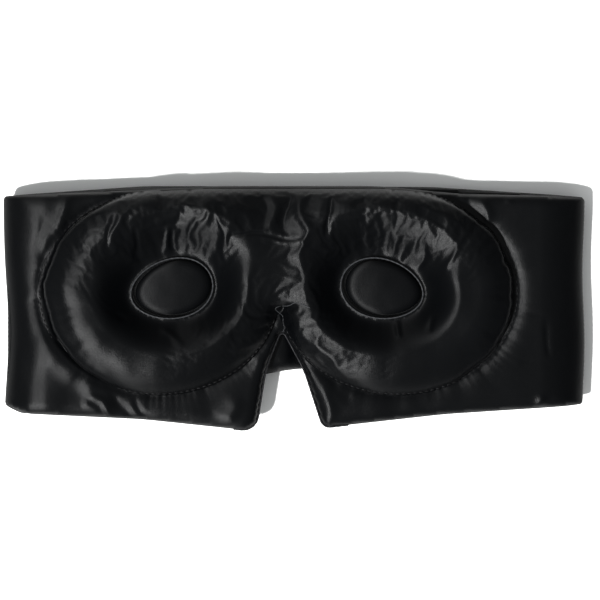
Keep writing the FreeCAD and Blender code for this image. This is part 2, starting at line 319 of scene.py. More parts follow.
def satin(name, dark, light, rough, specular):
    """Lustrous satin: long floats across fine filling threads, a faint crumple, and a stretched highlight."""
    material, nodes, links, shader = new_material(name)
    fabric = nodes.new("ShaderNodeUVMap")
    fabric.uv_map = "fabric"
    place = fabric.outputs["UV"]
    cloudy = noise(nodes, links, place, 2.2, 4.0)
    grain = noise(nodes, links, place, 260.0, 2.0)
    links.new(colour_between(nodes, links, cloudy, dark, light), shader.inputs["Base Color"])
    links.new(ranged(nodes, links, grain, *rough), shader.inputs["Roughness"])
    floats = thread_lines(nodes, links, place, 95.0, "X", 0.6)
    filling = thread_lines(nodes, links, place, 60.0, "Y", 0.8)
    crumple = noise(nodes, links, place, 22.0, 5.0, 0.5)
    bumped(nodes, links, shader, [
        (crumple, 0.12, 0.0004),
        (grain, 0.40, 0.00008),
        (filling, 0.20, 0.00003),
        (floats, 0.25, 0.00004),
    ])
    tangent = nodes.new("ShaderNodeTangent")
    tangent.direction_type = "UV_MAP"
    tangent.uv_map = "fabric"
    links.new(tangent.outputs["Tangent"], shader.inputs["Tangent"])
    shader.inputs["Anisotropic"].default_value = 0.88
    shader.inputs["Anisotropic Rotation"].default_value = 0.25
    shader.inputs["Specular IOR Level"].default_value = specular
    shader.inputs["Sheen Weight"].default_value = 0.02
    shader.inputs["Sheen Roughness"].default_value = 0.35
    return material


def thread_material(name, dark, light):
    """Twisted polyester thread."""
    material, nodes, links, shader = new_material(name)
    place = nodes.new("ShaderNodeTexCoord").outputs["Object"]
    cloudy = noise(nodes, links, place, 900.0)
    links.new(colour_between(nodes, links, cloudy, dark, light), shader.inputs["Base Color"])
    strands = thread_lines(nodes, links, place, 220.0, "DIAGONAL", 0.4)
    links.new(ranged(nodes, links, strands, 0.45, 0.6), shader.inputs["Roughness"])
    bumped(nodes, links, shader, [(strands, 0.5, 0.00008)])
    shader.inputs["Specular IOR Level"].default_value = 0.25
    shader.inputs["Sheen Weight"].default_value = 0.05
    return material


def tape_material(name, dark, light, rough, fuzz):
    """Nylon tape ground: a tight ribbed weave, with a brushed nap where fuzz is set."""
    material, nodes, links, shader = new_material(name)
    place = nodes.new("ShaderNodeTexCoord").outputs["Object"]
    cloudy = noise(nodes, links, place, 700.0, 4.0)
    links.new(colour_between(nodes, links, cloudy, dark, light), shader.inputs["Base Color"])
    links.new(ranged(nodes, links, cloudy, *rough), shader.inputs["Roughness"])
    ribs = thread_lines(nodes, links, place, 160.0, "X", 0.5)
    bumped(nodes, links, shader, [(ribs, 0.4, 0.0001), (cloudy, 0.5, 0.0002 + 0.0003 * fuzz)])
    shader.inputs["Specular IOR Level"].default_value = 0.2
    shader.inputs["Sheen Weight"].default_value = 0.08 if fuzz else 0.03
    shader.inputs["Sheen Roughness"].default_value = 0.5
    return material


BLACK, SLATE = (0.0009, 0.0011, 0.0014), (0.0021, 0.0025, 0.0031)
SATIN = satin("black_satin", BLACK, SLATE, rough=(0.31, 0.46), specular=0.155)
DISC_SATIN = satin("disc_satin", BLACK, SLATE, rough=(0.46, 0.54), specular=0.16)
THREAD = thread_material("black_thread", (0.001, 0.001, 0.0015), (0.004, 0.004, 0.005))
# the eye piping and the nose tuck's edge are black satin; their grey colour is a painted highlight of the
# light caught along their rolled rims
PAINTED_HIGHLIGHT_CORD = thread_material("painted_highlight_piping", (0.016, 0.017, 0.019), (0.045, 0.047, 0.050))
DARK_CORD = thread_material("black_binding", (0.003, 0.003, 0.004), (0.010, 0.010, 0.012))

# ---------------------------------------------------------------- the strap: flat pattern and folding

FOLD_START = 108.0          # the panel's underside is flat up to here, and each band begins here
FOLD_REACH = RIGHT - FOLD_START
FOLD_LENGTH = 26.2          # satin round the outside of each fold
FOLD_MIDDLE = FOLD_START + FOLD_LENGTH / 2
ROUND_START = 98.0          # the panel's face side begins to round off towards the folds here
CREASE = 114.4              # where the fold's inner layers meet
BAND_WAIST = box_mm("closure_tab_lining")[0][1]
PANEL_CUT = 104.0           # the front panel's piece ends here
TAB_CUT = TAB_BEND - 8.0    # the closure tab's piece begins here
SPACING = 1.05              # between points of the strap's pattern
BAND_SPACING = 1.7          # the same on the hidden bands
PAD_SPACING = 0.8           # and on the pad


def flat_left(x):
    """Where a place on the left band lies in the flat pattern."""
    return -(2 * FOLD_START + FOLD_LENGTH) - x


def flat_right(x):
    """The same for the right band."""
    return 2 * FOLD_START + FOLD_LENGTH - x


def strap_outline():
    """The strap's flat pattern, from the closure tab along its top edge to the right band and back."""
    return rounded([
        (flat_left(TAB_TIP), 38.0, 10.0),
        (flat_left(TAB_BEND), 46.5, 60.0),
        (flat_left(20.0), 48.9, 60.0),
        (flat_left(-60.0), 48.9, 150.0),
        (-121.0, 44.7, 40.0),
        (-80.0, 46.2, 150.0),
        (-30.0, TOP, 200.0),
        (34.0, TOP, 150.0),
        (66.0, 45.6, 80.0),
        (121.0, 44.3, 40.0),
        (flat_right(56.0), 48.4, 100.0),
        (flat_right(RIGHT_BAND_END), 48.9, 9.0),
        (flat_right(RIGHT_BAND_END), BAND_WAIST, 9.0),
        (flat_right(30.0), BAND_WAIST, 60.0),
        (flat_right(84.0), -36.4, 60.0),
        (121.0, -38.4, 20.0),
        (60.0, -42.4, 200.0),
        (11.8, BOTTOM + 1.4, 3.5),
        (4.4, -25.0, 40.0),
        (NOTCH[0], NOTCH[1], 1.2),
        (-11.0, -24.0, 40.0),
        (-15.0, BOTTOM, 6.0),
        (-60.0, -44.4, 150.0),
        (-106.0, -42.2, 12.0),
        (-120.5, -38.6, 7.0),
        (-133.0, -42.4, 12.0),
        (flat_left(-84.0), -41.4, 60.0),
        (flat_left(0.0), BAND_WAIST, 80.0),
        (flat_left(TAB_BEND), BAND_WAIST, 60.0),
        (flat_left(TAB_TIP), BAND_WAIST + 0.8, 10.0),
    ], SPACING)


NOTCH = (-4.6, -8.3)        # top of the nose notch

# ---------------------------------------------------------------- the pad's pattern

PAD_X = (PAD_LOW[0] + PAD_HIGH[0]) / 2
PAD_Y = 6.0                 # the lobes' middle
LOBE_OFFSET = 47.5          # from the nose to the middle of each lobe
LOBE_A = PAD_HIGH[0] - PAD_X - LOBE_OFFSET
LOBE_B = PAD_Y - PAD_LOW[1]
SLIT_TOP = 0.4              # the cheek lobes touch from here down to the notch


def lobe_arc(side, first, last, grow=0.0, step=1.0):
    """Points round one lobe. Angles are in degrees from its inner side, through its top and outer side."""
    count = int(abs(last - first) / step)
    angles = np.radians(np.linspace(first, last, count + 1))
    x = PAD_X + side * (LOBE_OFFSET - (LOBE_A + grow) * np.cos(angles))
    return np.column_stack([x, PAD_Y + (LOBE_B + grow) * np.sin(angles)])


def pad_outline():
    """The seam round both lobes, closed along the mask's top edge over the nose."""
    cusp = 360 - math.degrees(math.acos(LOBE_OFFSET / LOBE_A))
    left = lobe_arc(-1, 90, cusp)
    right = lobe_arc(1, 90, cusp)[::-1]
    over = np.linspace(right[-1][0], left[0][0], 100)[1:-1]
    top = np.column_stack([over, np.minimum(top_edge(over) - 0.9, 47.6)])
    return evenly(np.vstack([left, right[1:], top]), PAD_SPACING)


def top_edge(x):
    """The panel's top edge, read off the strap's outline."""
    upper = OUTLINE[(OUTLINE[:, 1] > 30) & (np.abs(OUTLINE[:, 0]) < FOLD_START)]
    upper = upper[np.argsort(upper[:, 0])]
    return np.interp(x, upper[:, 0], upper[:, 1])


OUTLINE = strap_outline()
PAD_OUTLINE = pad_outline()


def egg(centre, half_axes, side, grow=0.0, count=120):
    """The outline of an eye disc: blunt towards the nose, where it also tilts up."""
    angles = np.linspace(0, 2 * math.pi, count, endpoint=False)
    towards_nose = -side * np.cos(angles)
    x = (half_axes[0] + grow) * np.cos(angles)
    y = (half_axes[1] + grow) * np.sin(angles) * (1 + EGG * towards_nose)
    tilt = math.radians(-side * EYE_TILT)
    spin = np.array(((math.cos(tilt), -math.sin(tilt)), (math.sin(tilt), math.cos(tilt))))
    return np.column_stack([x, y]) @ spin.T + centre


EYE_TILT = 12.0             # degrees
EGG = 0.10                  # how much fuller the nose end of a disc is
DISC = (15.3, 10.6)         # a disc's half axes
PIPING_GROW = 1.3           # from a disc's edge to the satin round it
DISC_SHIFT = (0.5, 0.3)     # the discs sit a little up and to the right in their piping
EYES = {}
for side, name in SIDES:
    low, high = box_mm("eye_disc_cover_" + name)
    EYES[side] = (low[:2] + high[:2]) / 2

# ---------------------------------------------------------------- relief: folds, puckers and gathers


def crease(x, y, start, end, width, height):
    """A soft fold along a wandering line, a ridge or (height below 0) a valley, dying out at its ends."""
    x, y = x + 0.8 * ripples(x, y, 13, 41), y + 0.8 * ripples(x, y, 13, 42)
    start, end = np.array(start, float), np.array(end, float)
    length = np.linalg.norm(end - start)
    heading = (end - start) / length
    along = ((x - start[0]) * heading[0] + (y - start[1]) * heading[1]) / length
    across = -(x - start[0]) * heading[1] + (y - start[1]) * heading[0]
    return height * np.exp(-(across / width) ** 2) * smooth(along * 3) * smooth((1 - along) * 3)


WING_FOLDS = [      # (start, end, width, height)
    ((-90, 46), (-95, 24), 2.4, 0.7),
    ((-99, 42), (-102, 14), 2.2, -0.35),
    ((-102, -8), (-68, -40), 5.5, 1.19),
    ((-82, -33), (-70, -44), 1.5, 0.7),
    ((-75, -33), (-61, -45), 1.5, -0.63),
    ((-66, -36), (-55, -45), 1.2, -0.42),
    ((-84, -36), (-77, -43), 1.5, 0.42),
    ((-20, -36), (-30, -46), 3.0, 0.49),
    ((9, -26), (17, -46), 2.5, 0.56),
    ((14, -27), (24, -40), 1.8, -0.35),
    ((74, 46), (79, 33), 1.8, 0.7),
    ((69, 46), (73, 38), 1.4, -0.42),
    ((84, 45), (86, 41), 1.2, 0.35),
    ((101, -3), (101, -22), 0.9, -0.5),
    ((85, -3), (102, -3), 0.9, -0.17),
    ((88, -21), (102, -22), 0.9, -0.17),
    ((99, -33), (96, -43), 1.3, 0.63),
    ((103, -34), (100, -42), 1.1, -0.35),
]
PAD_FOLDS = [
    ((-50.5, 20), (-49.5, 34), 1.2, 0.61),
    ((-47.5, 21), (-48.0, 32), 0.9, -0.39),
    ((-71, 20), (-68, 38), 1.6, 0.44),
    ((-64, 18), (-60, 33), 1.4, -0.28),
    ((-40, 24), (-33, 38), 1.8, 0.5),
    ((-30, 22), (-26, 36), 2.2, 0.39),
    ((-9, 26), (-7, 49), 2.2, 0.72),
    ((-4, 27), (-2, 49), 2.0, -0.5),
    ((6, 26), (1, 49), 2.4, 0.66),
    ((12, 26), (16, 46), 2.4, -0.28),
    ((53, 25), (48, 14), 1.3, -0.61),
    ((50, 28), (44, 16), 1.6, 0.55),
    ((42, 30), (38, 20), 1.6, 0.39),
    ((66, 24), (58, 14), 1.8, 0.33),
    ((55, -1), (53, -11), 1.0, -0.44),
    ((41, -4), (42, -12), 1.2, 0.39),
    ((-6, -8), (-26, -11), 1.4, -0.39),
    ((-7, -11), (-28, -18), 1.4, 0.28),
    ((-6, -5), (-20, -1), 1.3, -0.33),
    ((4, -10), (20, -25), 2.0, 0.44),
    ((8, -18), (24, -31), 1.3, -0.44),
    ((-26, 28.5), (6, 28.0), 0.8, -0.19),
    ((-72, -1), (-66, -6), 1.2, -0.33),
    ((-55, -7), (-42, -16), 1.6, 0.33),
]


def plain_undulation(x, y):
    """The lie of the padded panel: livelier on its left wing, nearly flat on its right one."""
    lively = 1 - 0.7 * smooth((x - 40) / 40)
    return lively * (0.22 * ripples(x, y, 34, 3) + 0.07 * ripples(x, y, 13, 4))


def seam_puckers(away, along):
    """Small gathers that the topstitch pulls into the satin, in patches."""
    patchy = 0.35 + 0.65 * smooth(0.5 + 0.6 * along_ripples(along, 38, 11))
    fine = 0.14 * along_ripples(along, 4.6, 5) * np.exp(-away / 2.6)
    broad = 0.16 * along_ripples(along, 14, 6) * np.exp(-away / 5)
    return patchy * (fine + broad)


def panel_relief(x, y):
    """How far the face lining stands above its plain level."""
    points = np.column_stack([x, y])
    away, along = nearest_on(PAD_OUTLINE, points)
    under_pad = inside(PAD_OUTLINE, points)
    relief = plain_undulation(x, y)
    relief -= 1.0 * np.exp(-away / 2.2)
    relief += seam_puckers(away, along)
    for fold in WING_FOLDS:
        relief += crease(x, y, *fold)
    hidden = under_pad * smooth(away / 3)
    return relief * (1 - hidden) - 1.2 * hidden


def bezier(t, first, second, third, last):
    """A cubic curve from its first to its last value, drawn by the two between."""
    start = (1 - t) ** 3 * first + 3 * (1 - t) ** 2 * t * second
    return start + 3 * (1 - t) * t ** 2 * third + t ** 3 * last


def folded(s, y):
    """Both faces of the strap after folding: (x, z) outside and (x, z) inside, plain and unpadded."""
    side = np.where(s < 0, -1.0, 1.0)
    run = np.abs(s)
    turn = np.clip((run - FOLD_START) / FOLD_LENGTH, 0, 1)
    on_band = run > FOLD_START + FOLD_LENGTH
    band_x = side * (2 * FOLD_START + FOLD_LENGTH - run)
    left = side < 0
    thinned = LEFT_BAND_HIGH + (THIN_BAND - LEFT_BAND_HIGH) * smooth((band_x + 4) / 11)
    band_high = np.where(left, np.where(on_band, thinned, LEFT_BAND_HIGH), RIGHT_BAND_HIGH)
    fold_low = np.where(left, 0.0, RIGHT_FOLD_LOW)
    lifted = RIGHT_FOLD_LOW + (RIGHT_BAND_LOW - RIGHT_FOLD_LOW) * smooth((FOLD_START + 0.5 - band_x) / 6.0)
    band_low = np.where(left, 0.0, lifted)

    # under the fold, a quarter ellipse from the fold's outermost line to the band
    pinch = np.where(left, 2.0 * bump_at(y, -10, 26), 0.4 * np.sin(y / 9))
    middle, half = (PANEL_HIGH + fold_low) / 2, (PANEL_HIGH - fold_low) / 2
    under_x = side * (FOLD_START + (FOLD_REACH - pinch) * np.sin(math.pi * turn))
    under_z = middle + half * np.cos(math.pi * turn)
    under_x = np.where(on_band, band_x, under_x)
    under_z = np.where(on_band, band_low, under_z)

    # over the fold, a slower shoulder that begins earlier
    rounding = np.clip((run - ROUND_START) / (FOLD_MIDDLE - ROUND_START), 0, 1)
    edge = RIGHT - pinch
    shoulder_x = side * bezier(rounding, ROUND_START, ROUND_START + 7, edge - 2, edge)
    shoulder_z = bezier(rounding, PANEL_HIGH, PANEL_HIGH, PANEL_HIGH - 4.5, middle)
    above = run < FOLD_MIDDLE
    outer_x = np.where(run < ROUND_START, s, np.where(above, shoulder_x, under_x))
    outer_z = np.where(above, shoulder_z, under_z)

    depth = (CREASE - FOLD_START) * (1 - np.abs(1 - 2 * turn))
    inner_x = np.where(run < FOLD_START, s, np.where(on_band, band_x, side * (FOLD_START + depth)))
    inner_z = PANEL_LOW + (band_high - PANEL_LOW) * smooth((turn - 0.45) / 0.1)
    return outer_x, outer_z, inner_x, inner_z


def strap_faces(s, y):
    """The strap's outer and inner face, padded, folded and drawn together at its seams."""
    away, along = nearest_on(OUTLINE, np.column_stack([s, y]))
    outer_x, outer_z, inner_x, inner_z = folded(s, y)
    run = np.abs(s)
    on_panel = smooth((FOLD_START + 6 - run) / 8)
    on_band = smooth((run - FOLD_START - FOLD_LENGTH + 6) / 8)
    thick = np.hypot(outer_x - inner_x, outer_z - inner_z)
    round_off = dome(away, np.clip(0.8 * thick, 1.6, 5.0))
    gather = along_ripples(along, 6.5, 7) * np.exp(-away / 5)
    relief = panel_relief(s, y) * on_panel
    soft = 0.25 * ripples(s, y, 24, 8) + 0.12 * ripples(s, y, 9, 9) + 0.25 * gather
    lift = np.abs(soft) * on_band
    outer_z = outer_z + relief + lift
    inner_z = inner_z + 0.35 * np.abs(soft) * on_panel - lift
    seam_x, seam_z = (outer_x + inner_x) / 2, (outer_z + inner_z) / 2
    faces = []
    for x, z in ((outer_x, outer_z), (inner_x, inner_z)):
        faces.append(np.column_stack([
            seam_x + (x - seam_x) * round_off,
            y,
            seam_z + (z - seam_z) * round_off,
        ]))
    return faces


def cut_line(s):
    """A straight line across the pattern, between its two edges."""
    near = OUTLINE[np.abs(OUTLINE[:, 0] - s) < 2 * SPACING]
    upper, lower = near[near[:, 1] > 0], near[near[:, 1] < 0]
    ends = [part[np.argmin(np.abs(part[:, 0] - s))] for part in (lower, upper)]
    count = int(np.linalg.norm(ends[1] - ends[0]) / SPACING)
    shares = np.linspace(0, 1, count)[1:-1, None]
    line = ends[0] + (ends[1] - ends[0]) * shares
    line[:, 0] = np.where(np.minimum(shares, 1 - shares)[:, 0] > 0.02, s, line[:, 0])
    return np.vstack([ends[0], line, ends[1]])


def make_strap():
    """The padded strap in four pieces: front panel, left band, closure tab and right band."""
    tab_end = flat_left(TAB_CUT)
    cuts = [cut_line(place) for place in (tab_end, -PANEL_CUT, PANEL_CUT)]
    fold_end = FOLD_START + FOLD_LENGTH + 4
    low, high = OUTLINE.min(0), OUTLINE.max(0)
    fine = hexagonal((-fold_end, low[1]), (fold_end, high[1]), SPACING)
    coarse = hexagonal(low, high, BAND_SPACING)
    coarse = coarse[np.abs(coarse[:, 0]) > fold_end + 1]
    flat, triangles = fill(OUTLINE, np.vstack([fine, coarse]), SPACING, cuts)
    outer, inner = strap_faces(flat[:, 0], flat[:, 1])
    count = len(flat)
    rim = nearest_on(OUTLINE, flat)[0] < 1e-3
    inner_index = np.where(rim, np.arange(count), np.arange(count) + count)
    points = np.vstack([outer, inner])
    faces = np.vstack([triangles, inner_index[triangles][:, ::-1]])
    fabric = np.vstack([flat, flat])
    normals = vertex_normals(points, faces)
    middles = flat[triangles].mean(1)[:, 0]
    middles = np.concatenate([middles, middles])
    ranges = {
        "closure_tab_cushion": (-math.inf, tab_end),
        "left_band_cushion": (tab_end, -PANEL_CUT),
        "front_panel_cushion": (-PANEL_CUT, PANEL_CUT),
        "right_band_cushion": (PANEL_CUT, math.inf),
    }
    pieces = {}
    for name, (start, end) in ranges.items():
        chosen = faces[(middles > start) & (middles < end)]
        used, renumbered = np.unique(chosen, return_inverse=True)
        pieces[name] = make_object(name, points[used], renumbered.reshape(-1, 3), SATIN,
                                   fabric[used], normals[used])
    return pieces


# ---------------------------------------------------------------- the foam pad's satin


def nose_slit(x, y):
    """How far each place is from the line where the two cheek lobes touch.

    Above its top the bridge's satin rolls over it as a short lip, so the fall there is quicker."""
    drift = NOTCH[0] + 0.5 * np.sin((y - NOTCH[1]) * 0.9)
    above = np.maximum(y - SLIT_TOP, 0) * 2.4
    below = np.maximum(NOTCH[1] - 1 - y, 0)
    return np.hypot(x - drift, above + below)


def pad_surface(x, y):
    """The pad's satin as points: crowned lobes with steep outer walls and a cavity round each eye."""
    points = np.column_stack([x, y])
    away, along = nearest_on(PAD_OUTLINE, points)
    side = np.where(x < PAD_X, -1.0, 1.0)
    round_x = (x - PAD_X - side * LOBE_OFFSET) / LOBE_A
    round_y = (y - PAD_Y) / LOBE_B
    angle = np.arctan2(round_y, side * round_x)
    outwards = np.clip(np.cos(angle), 0, 1) ** 2 * smooth((side * round_x + 0.2) / 0.4)

    wander = 0.55 * along_ripples(along, 30, 21) + 0.18 * along_ripples(along, 11, 26)
    margin = 0.5 + (2.9 - 0.6 * side + wander) * outwards
    upwards = smooth((y - 22) / 16)
    over_nose = bump_at(x, PAD_X, 20) * upwards
    shoulder = 16.0 - 3.0 * outwards - 6.0 * upwards + 9.0 * over_nose
    rise = dome(away - margin, shoulder)
    rise *= 0.12 + 0.88 * dome(nose_slit(x, y) + 0.1, 7.0)

    eye_away = np.full_like(x, 1e9)
    eye_along = np.zeros_like(x)
    for eye_side, centre in EYES.items():
        distance, place = nearest_on(egg(centre, DISC, eye_side, PIPING_GROW), points)
        closer = distance < eye_away
        eye_away[closer] = distance[closer]
        eye_along[closer] = place[closer]
    eye_y = EYES[1][1]
    wall_width = 15.0 + 6.0 * smooth((y - eye_y - 3) / 14)
    wall = smooth(eye_away / wall_width) ** 0.75
    crown = (PAD_CROWN - PANEL_HIGH) * (1 - 0.16 * bump_at(x, PAD_X, 15))
    height = crown * rise * wall

    height -= 0.9 * bump_at(away, margin - 0.3, 0.9) * outwards
    rim_gather = along_ripples(eye_along, 7.0, 23) * bump_at(eye_away, 5, 5)
    height += (0.04 + 0.13 * smooth((y - 14) / 8)) * rim_gather
    height += (0.10 * ripples(x, y, 30, 24) + 0.03 * ripples(x, y, 10, 25)) * smooth(away / 5)
    for fold in PAD_FOLDS:
        height += crease(x, y, *fold)
    height *= smooth(eye_away / 1.2) * 0.9 + 0.1
    height += 0.9 * np.exp(-eye_away / 1.0)

    base = face_level(x, y)
    z = base + np.maximum(height, -0.8) + 0.35 * smooth(away / 0.8) - 0.12
    bulge = (2.0 - 0.5 * side) * outwards * bump_at(away, margin + 1.9, 1.9)
    x = x + side * bulge * np.abs(np.cos(angle))
    y = y + bulge * np.sin(angle)
    return np.column_stack([x, y, z])


def face_level(x, y):
    """The level of the panel's face side, where the pad is sewn on, without the pad's own hollow."""
    points = np.column_stack([x, y])
    away, along = nearest_on(OUTLINE, points)
    seam_away, seam_along = nearest_on(PAD_OUTLINE, points)
    relief = plain_undulation(x, y) - 1.0
    relief += seam_puckers(seam_away, seam_along) * np.exp(-seam_away / 2.0)
    middle = (PANEL_LOW + PANEL_HIGH) / 2
    return middle + (PANEL_HIGH + relief - middle) * dome(away, 5.0)


def nose_tuck_line():
    """The caught edge of satin that runs up the slit between the cheek lobes and ends in a wavy lip."""
    route = np.array([
        (-4.4, -9.6), (-3.4, -8.0), (-4.2, -6.0), (-4.0, -3.2), (-5.6, -1.9), (-7.0, -0.8), (-7.3, 0.0),
        (-5.0, 1.0), (-1.8, 0.7), (0.6, 2.4), (3.4, 1.5), (6.6, 0.0),
    ])
    for _ in range(3):
        middles = 0.75 * route[:-1] + 0.25 * route[1:]
        others = 0.25 * route[:-1] + 0.75 * route[1:]
        inner = np.stack([middles, others], axis=1).reshape(-1, 2)
        route = np.vstack([route[:1], inner, route[-1:]])
    return route


def settle(cover, held, slack):
    """Runs the satin as cloth and keeps the result.

    It is fixed where held is 1 and lightly stayed by its padding elsewhere. It has the most extra length
    to wrinkle with where slack is 1."""
    before = np.array([vertex.co[:] for vertex in cover.data.vertices])
    for name, weights in (("held", held), ("taut", 1 - slack)):
        group = cover.vertex_groups.new(name=name)
        for index, weight in enumerate(weights):
            group.add([index], float(weight), "REPLACE")
    cloth = cover.modifiers.new("settle", "CLOTH")
    cloth.collision_settings.use_collision = False
    cloth.point_cache.frame_start = 1
    cloth.point_cache.frame_end = SETTLE_FRAMES
    setting = cloth.settings
    setting.quality = 4
    setting.mass = 0.15
    setting.tension_stiffness = 15
    setting.compression_stiffness = 15
    setting.shear_stiffness = 5
    setting.bending_stiffness = 3.0
    setting.vertex_group_mass = "held"
    setting.pin_stiffness = 1.0
    setting.vertex_group_shrink = "taut"
    setting.shrink_min = -SLACK
    setting.shrink_max = 0.0
    setting.effector_weights.gravity = 0.0
    scene = bpy.context.scene
    for moment in range(1, SETTLE_FRAMES + 1):
        scene.frame_set(moment)
    settled = cover.evaluated_get(bpy.context.evaluated_depsgraph_get()).to_mesh()
    after = np.array([vertex.co[:] for vertex in settled.vertices])
    cover.modifiers.remove(cloth)
    cover.vertex_groups.clear()
    scene.frame_set(1)
    moved = after - before
    reach = np.linalg.norm(moved, axis=1, keepdims=True)
    moved *= np.minimum(1, SETTLE_LIMIT * MM / np.maximum(reach, 1e-9))
    cover.data.vertices.foreach_set("co", (before + moved).ravel())
    cover.data.update()


SETTLE_FRAMES = 14
SETTLE_LIMIT = 1.5          # no place settles further than this
SLACK = 0.014               # extra length of the satin where it is gathered


def make_pad_cover():
    """The pad's satin, open at the eye discs, with most slack above the eyes and by the nose."""
    holes = [egg(centre, DISC, side, PIPING_GROW) for side, centre in EYES.items()]
    lattice = hexagonal(PAD_OUTLINE.min(0), PAD_OUTLINE.max(0), PAD_SPACING)
    flat, triangles = fill(PAD_OUTLINE, lattice, PAD_SPACING, holes=holes)
    points = pad_surface(flat[:, 0], flat[:, 1])
    cover = make_object("face_pad_cover_satin", points, triangles, SATIN, flat)
    from_edge = nearest_on(PAD_OUTLINE, flat)[0]
    for hole in holes:
        from_edge = np.minimum(from_edge, nearest_on(hole, flat)[0])
    from_edge = np.minimum(from_edge, nearest_on(nose_tuck_line(), flat)[0])
    held = 0.15 + 0.85 * np.exp(-np.maximum(from_edge - 0.6, 0) / 1.0)
    above_eyes = smooth((flat[:, 1] - 16) / 14)
    by_nose = bump_at(np.hypot(flat[:, 0] - NOTCH[0], flat[:, 1] - NOTCH[1]), 8, 14)
    settle(cover, held, np.clip(0.04 + above_eyes + 0.7 * by_nose, 0, 1))
    return cover


# ---------------------------------------------------------------- eye discs, piping and thread


def make_disc(side, name):
    """A satin-covered disc with a rolled rim, closed underneath."""
    floor = PANEL_HIGH
    shares = np.concatenate([np.linspace(0.02, 0.80, 14), 1 - np.linspace(0.17, 0, 9) ** 1.3 * 1.9])
    shares = np.clip(np.sort(shares), 0, 1)
    rings, heights = [], []
    for share in shares:
        shape = EYES[side] + (egg(EYES[side], DISC, side) - EYES[side]) * share
        rings.append(shape)
        rim = dome(np.array((1 - share) * DISC[1]), 2.6)
        heights.append(floor - 0.2 + (1.9 + 0.9 * (1 - share ** 2)) * float(rim))
    rings.append(EYES[side] + (rings[-1] - EYES[side]) * 0.97)
    heights.append(floor - 0.6)
    count = len(rings[0])
    flat = np.vstack(rings)
    points = np.column_stack([flat, np.repeat(heights, count)])
    points[:, 2] += 0.02 * ripples(flat[:, 0], flat[:, 1], 9, 31 + side) * (points[:, 2] > floor)
    points[:, :2] += DISC_SHIFT
    faces = []
    for ring in range(len(rings) - 1):
        for k in range(count):
            a, b = ring * count + k, ring * count + (k + 1) % count
            faces.append((a, a + count, b + count, b))
    faces.append(tuple(range(count)))
    faces.append(tuple(reversed(range((len(rings) - 1) * count, len(rings) * count))))
    return make_object("eye_disc_" + name, points, faces, DISC_SATIN, flat)


def tube(name, line, radius, material, sides=10, closed=True, twist=0.0, strands=3):
    """A cord along a line of points: round, or fluted like twisted strands."""
    line = np.asarray(line, float)
    ahead = np.roll(line, -1, axis=0) - np.roll(line, 1, axis=0)
    if not closed:
        ahead[0], ahead[-1] = line[1] - line[0], line[-1] - line[-2]
    ahead /= np.linalg.norm(ahead, axis=1)[:, None]
    across = np.cross(ahead, (0, 0, 1.0))
    across /= np.linalg.norm(across, axis=1)[:, None]
    up = np.cross(across, ahead)
    lengths = np.concatenate([[0], np.cumsum(np.linalg.norm(np.diff(line, axis=0), axis=1))])
    rings = []
    for i, middle in enumerate(line):
        angles = np.linspace(0, 2 * math.pi, sides, endpoint=False)
        flute = 1 + 0.13 * np.cos(strands * angles + twist * lengths[i]) if twist else np.ones(sides)
        ring = middle + radius * flute[:, None] * (np.cos(angles)[:, None] * across[i]
                                                   + np.sin(angles)[:, None] * up[i])
        rings.append(ring)
    faces = []
    spans = len(line) if closed else len(line) - 1
    for i in range(spans):
        for k in range(sides):
            a, b = i * sides + k, i * sides + (k + 1) % sides
            c, d = (i + 1) % len(line) * sides + k, (i + 1) % len(line) * sides + (k + 1) % sides
            faces.append((a, b, d, c))
    if not closed:
        faces.append(tuple(reversed(range(sides))))
        faces.append(tuple(range((len(line) - 1) * sides, len(line) * sides)))
    return make_object(name, np.vstack(rings), faces, material)


def stitches(name, places, headings, length, radius, material):
    """Short stitches of thread: rounded pegs that dive into the fabric at both ends."""
    steps = np.linspace(-1, 1, 7)
    sides = 6
    points, faces = [], []
    for place, heading in zip(places, headings):
        ahead = heading / np.linalg.norm(heading)
        across = np.cross(ahead, (0, 0, 1.0))
        across /= np.linalg.norm(across)
        up = np.cross(across, ahead)
        first = len(points)
        for t in steps:
            girth = radius * math.sqrt(max(0.12, 1 - t ** 4))
            middle = place + ahead * t * length / 2 - up * 0.9 * radius * t * t
            for k in range(sides):
                a = 2 * math.pi * k / sides
                points.append(middle + girth * (math.cos(a) * across + math.sin(a) * up))
        for i in range(len(steps) - 1):
            for k in range(sides):
                a, b = first + i * sides + k, first + i * sides + (k + 1) % sides
                faces.append((a, b, b + sides, a + sides))
        faces.append(tuple(first + k for k in reversed(range(sides))))
        last = first + (len(steps) - 1) * sides
        faces.append(tuple(last + k for k in range(sides)))
    return make_object(name, points, faces, material)


def make_pad_topstitch():
    """One row of stitches just inside the pad's seam, from the top of each lobe to the nose."""
    pitch, inset = 2.3, 0.9
    places, headings = [], []
    for side in (-1, 1):
        line = lobe_arc(side, 118, 345, -inset, 0.25)
        flat_lengths = np.concatenate([[0], np.cumsum(np.linalg.norm(np.diff(line, axis=0), axis=1))])
        marks = np.arange(0, flat_lengths[-1], pitch)
        flat = np.column_stack([np.interp(marks, flat_lengths, line[:, k]) for k in range(2)])
        solid = pad_surface(flat[:, 0], flat[:, 1])
        ahead = np.gradient(solid, axis=0)
        ahead[:, 2] *= 0.6
        places += list(solid + (0, 0, 0.12))
        headings += list(ahead)
    return stitches("pad_topstitch_thread", places, headings, 1.75, 0.2, THREAD)


def make_piping(side, name):
    """The rolled satin edge round an eye disc, where the cavity's satin is caught down. It is drawn grey as a
    painted highlight of the light along the rim.
    """
    line = egg(EYES[side], DISC, side, PIPING_GROW - 0.1, count=360)
    level = PANEL_HIGH + 0.95
    return tube("eye_piping_cord_" + name, np.column_stack([line, np.full(len(line), level)]), 0.30,
                PAINTED_HIGHLIGHT_CORD, sides=12, twist=3.0)


